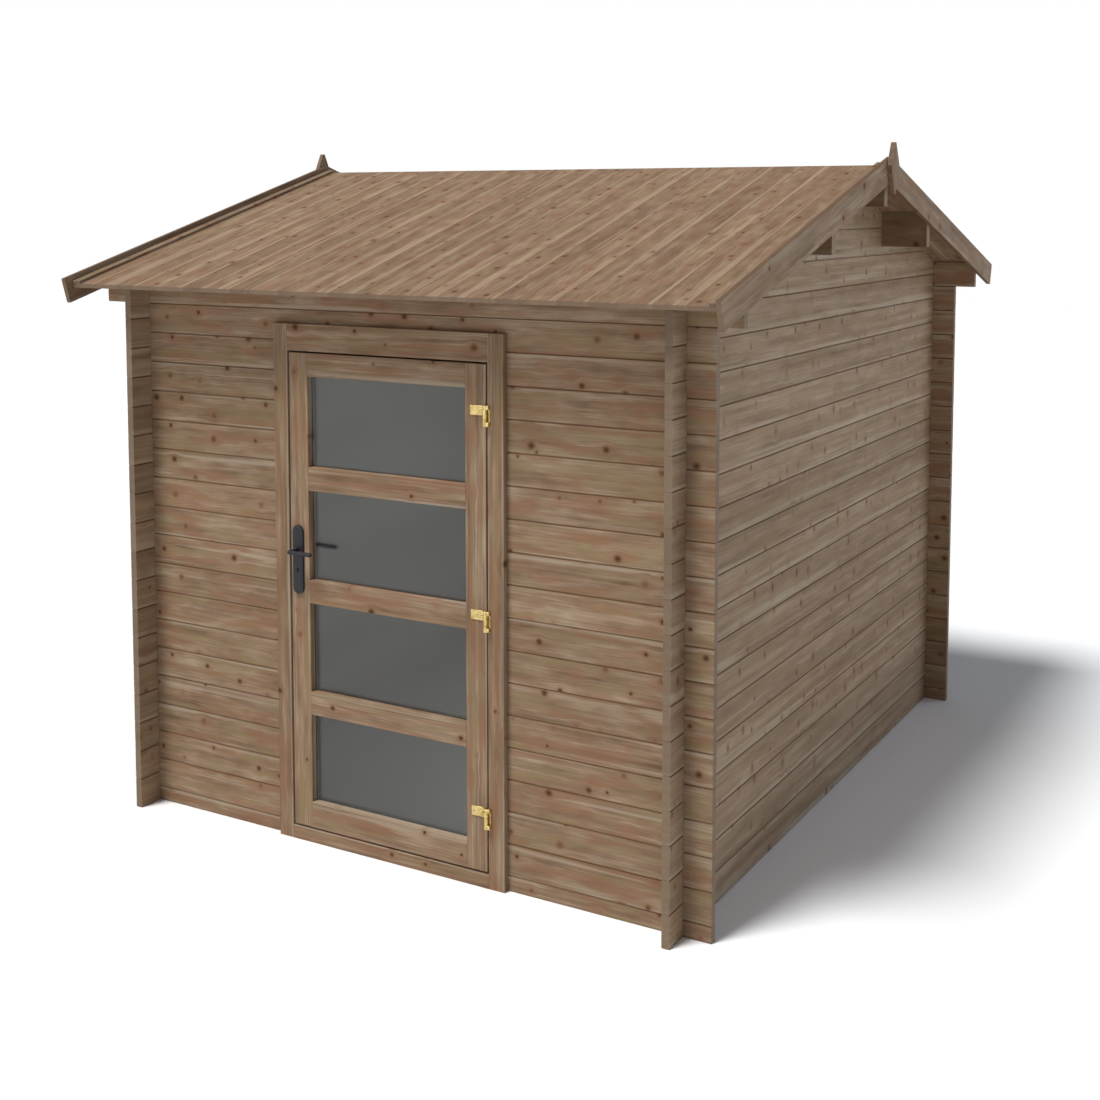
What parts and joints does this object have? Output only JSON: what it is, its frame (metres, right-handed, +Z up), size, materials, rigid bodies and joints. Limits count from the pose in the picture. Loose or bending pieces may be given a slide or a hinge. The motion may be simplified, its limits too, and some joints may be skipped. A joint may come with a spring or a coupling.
{
  "type": "wooden garden shed",
  "caption": "Log-board garden shed with notched corners, a low gabled board roof with bargeboards and finials, and a glazed hinged door with lever handle in the eaves wall.",
  "frame": {"origin": "centre of the footprint, on the ground", "axes": "+X to the right along the front wall and the ridge, -Y out of the door, +Z up"},
  "size_m": [2.742, 3.19, 2.5707],
  "materials": {
    "wall_pine": "matt brown-stained planed pine",
    "roof_pine": "matt brown-stained planed pine boards",
    "trim_pine": "matt brown-stained planed pine",
    "door_pine": "matt brown-stained planed pine",
    "pane_glass": "clear float glass",
    "hinge_brass": "brass-plated steel",
    "black_iron": "black satin coated metal"
  },
  "bodies": {
    "shed": {"front_wall_left": "wall_pine", "front_wall_right": "wall_pine", "front_lintel_log": "wall_pine", "front_eaves_log": "wall_pine", "back_wall": "wall_pine", "back_eaves_log": "wall_pine", "left_wall": "wall_pine", "right_wall": "wall_pine", "left_gable": "wall_pine", "right_gable": "wall_pine", "ridge_purlin": "wall_pine", "front_purlin": "wall_pine", "back_purlin": "wall_pine", "roof_front_slope": "roof_pine", "roof_back_slope": "roof_pine", "left_front_bargeboard": "trim_pine", "left_back_bargeboard": "trim_pine", "right_front_bargeboard": "trim_pine", "right_back_bargeboard": "trim_pine", "left_front_verge_lath": "trim_pine", "left_back_verge_lath": "trim_pine", "right_front_verge_lath": "trim_pine", "right_back_verge_lath": "trim_pine", "left_finial": "trim_pine", "right_finial": "trim_pine", "door_frame_left_jamb": "door_pine", "door_frame_right_jamb": "door_pine", "door_frame_head": "door_pine", "door_sill": "door_pine", "door_stops": "door_pine", "hinge_brackets": "hinge_brass"},
    "door": {"door_left_stile": "door_pine", "door_right_stile": "door_pine", "door_bottom_rail": "door_pine", "door_lower_rail": "door_pine", "door_lock_rail": "door_pine", "door_upper_rail": "door_pine", "door_top_rail": "door_pine", "door_panes": "pane_glass", "hinge_flags": "hinge_brass", "handle_plate_outside": "black_iron", "handle_plate_inside": "black_iron"},
    "handle": {"lever_outside": "black_iron", "lever_inside": "black_iron", "spindle": "black_iron"}
  },
  "joints": [
    {"name": "door_hinge", "type": "hinge", "parent": "shed", "child": "door", "pos_m": [0.4235, -1.407, 0.95], "axis": [0, 0, 1], "range_deg": [0, 160]},
    {"name": "lever_turn", "type": "hinge", "parent": "door", "child": "handle", "pos_m": [-0.384, -1.375, 1.088], "axis": [0, 1, 0], "range_deg": [0, 40], "stiffness_Nm_per_rad": 1, "springref_deg": -17.19}
  ]
}
